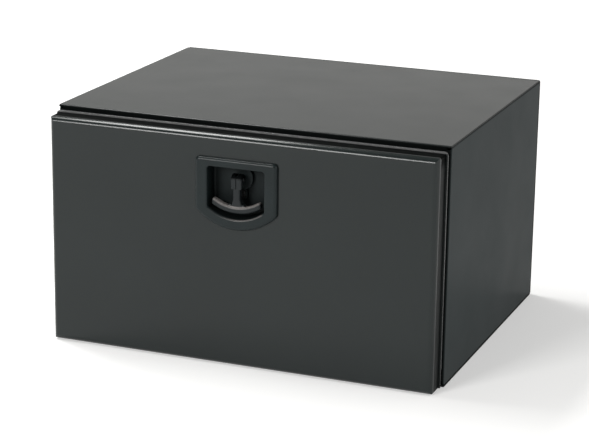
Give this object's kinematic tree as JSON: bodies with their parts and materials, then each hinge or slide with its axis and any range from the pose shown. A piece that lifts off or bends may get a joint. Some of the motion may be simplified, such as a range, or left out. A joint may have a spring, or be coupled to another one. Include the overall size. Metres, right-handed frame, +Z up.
{
  "type": "tool box",
  "caption": "Sheet steel tool box for a vehicle or workshop, with a drop-down front door, a recessed folding T-handle and a keyed cam latch.",
  "frame": {"origin": "on the ground under the middle of the whole box, door and lock frame included", "axes": "+X to the right as seen from the front, +Y to the back, +Z up"},
  "size_m": [0.6, 0.5034, 0.35],
  "materials": {
    "body_paint": "black-grey powder coat with a soft gloss",
    "door_paint": "black-grey powder coat with a soft gloss",
    "black_rubber": "matt extruded rubber",
    "lock_plastic": "fine grained black moulding",
    "nylon": "natural nylon",
    "zinc_steel": "zinc plated steel",
    "handle_coat": "black coated zinc casting",
    "barrel_metal": "black coated lock barrel"
  },
  "bodies": {
    "case": {"top_panel": "body_paint", "bottom_panel": "body_paint", "right_side": "body_paint", "left_side": "body_paint", "back_panel": "body_paint", "keeper_plate": "body_paint", "keeper_rivets": "body_paint", "door_seal": "black_rubber", "hinge_washers": "nylon", "hinge_bracket_right": "zinc_steel", "hinge_bracket_left": "zinc_steel", "bracket_rivets": "zinc_steel", "hinge_pin_right": "zinc_steel", "hinge_pin_left": "zinc_steel", "hinge_clips": "zinc_steel"},
    "door": {"door_skin": "door_paint", "door_liner": "door_paint", "hinge_leaf_right": "door_paint", "hinge_leaf_left": "door_paint", "lock_dish": "lock_plastic", "dish_gasket": "black_rubber", "dish_clamp": "zinc_steel", "dish_screws": "zinc_steel", "handle_pin": "zinc_steel", "spindle_bush": "nylon"},
    "handle": {"t_handle": "handle_coat"},
    "latch": {"key_barrel": "barrel_metal", "barrel_clip": "zinc_steel", "latch_cam": "zinc_steel", "cam_washer": "zinc_steel", "cam_nut": "zinc_steel"}
  },
  "joints": [
    {"name": "door_hinge", "type": "hinge", "parent": "case", "child": "door", "pos_m": [0, -0.23525, 0.0125], "axis": [1, 0, 0], "range_deg": [0, 88]},
    {"name": "handle_lift", "type": "hinge", "parent": "door", "child": "handle", "pos_m": [0, -0.24075, 0.279], "axis": [-1, 0, 0], "range_deg": [0, 85]},
    {"name": "latch_turn", "type": "hinge", "parent": "door", "child": "latch", "pos_m": [0, -0.2, 0.256], "axis": [0, -1, 0], "range_deg": [0, 90]}
  ]
}
